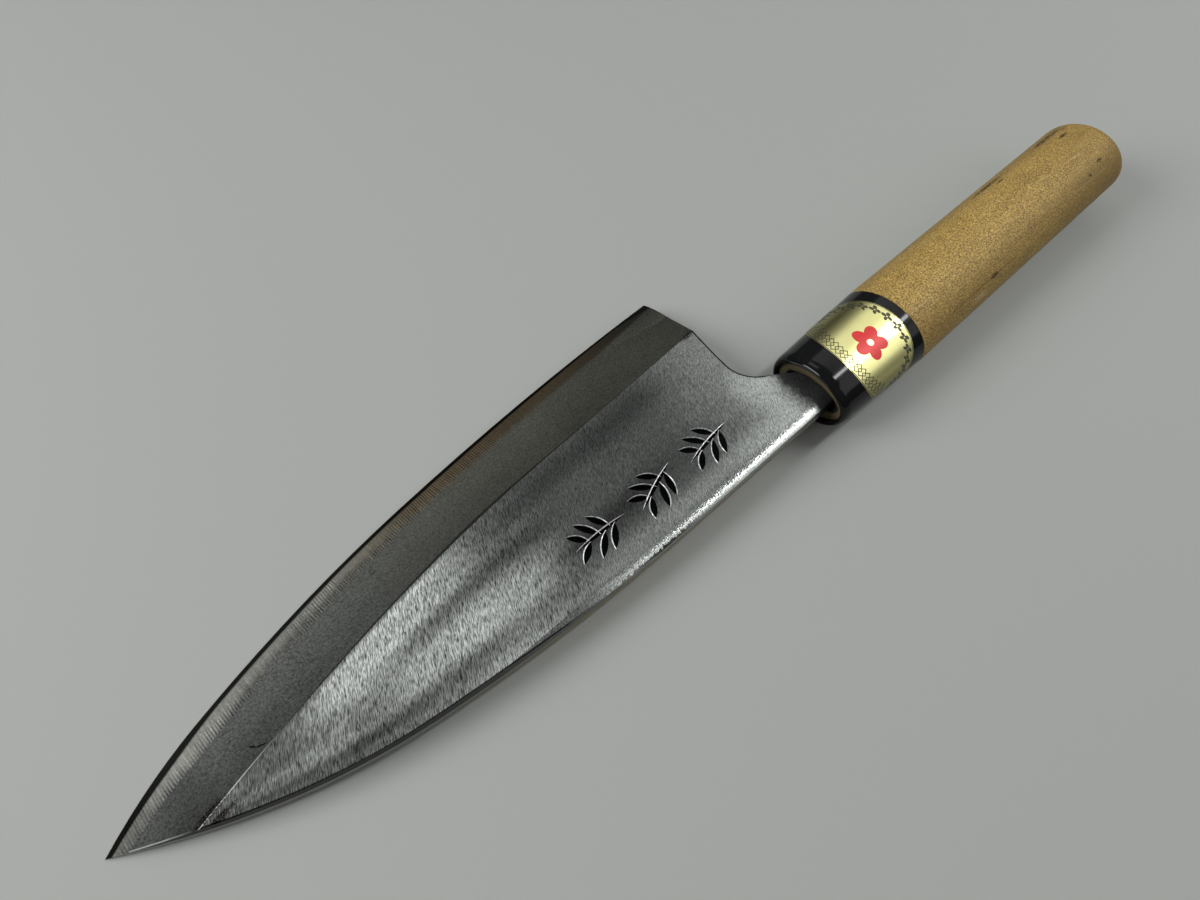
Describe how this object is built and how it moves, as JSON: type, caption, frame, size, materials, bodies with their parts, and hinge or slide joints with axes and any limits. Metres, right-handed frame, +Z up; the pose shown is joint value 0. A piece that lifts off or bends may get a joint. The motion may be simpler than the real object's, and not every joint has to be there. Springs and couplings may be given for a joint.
{
  "type": "deba knife",
  "caption": "Single-bevel kitchen knife with a laminated blade, a hollow-ground back, an oval wood handle and a black ferrule, lying on its back.",
  "frame": {"origin": "centre of the resting knife's box, on the table that it lies on", "axes": "+X towards the point, -Y towards the cutting edge, +Z up, out of the bevelled cheek"},
  "size_m": [0.3094, 0.0614, 0.0222],
  "materials": {
    "soft_iron": "ground matte bevel, satin cheek, dark forge scale at the neck",
    "hard_steel": "brighter ground band along the edge and a polished hollow back",
    "handle_wood": "bare fine-grained wood, slightly stained by use",
    "ferrule_plastic": "glossy black",
    "label_foil": "gold foil with a plain red figure and a thin dark border"
  },
  "bodies": {
    "root": {"blade_body": "soft_iron", "edge_steel": "hard_steel", "handle": "handle_wood", "ferrule": "ferrule_plastic", "ferrule_label": "label_foil"}
  },
  "joints": []
}
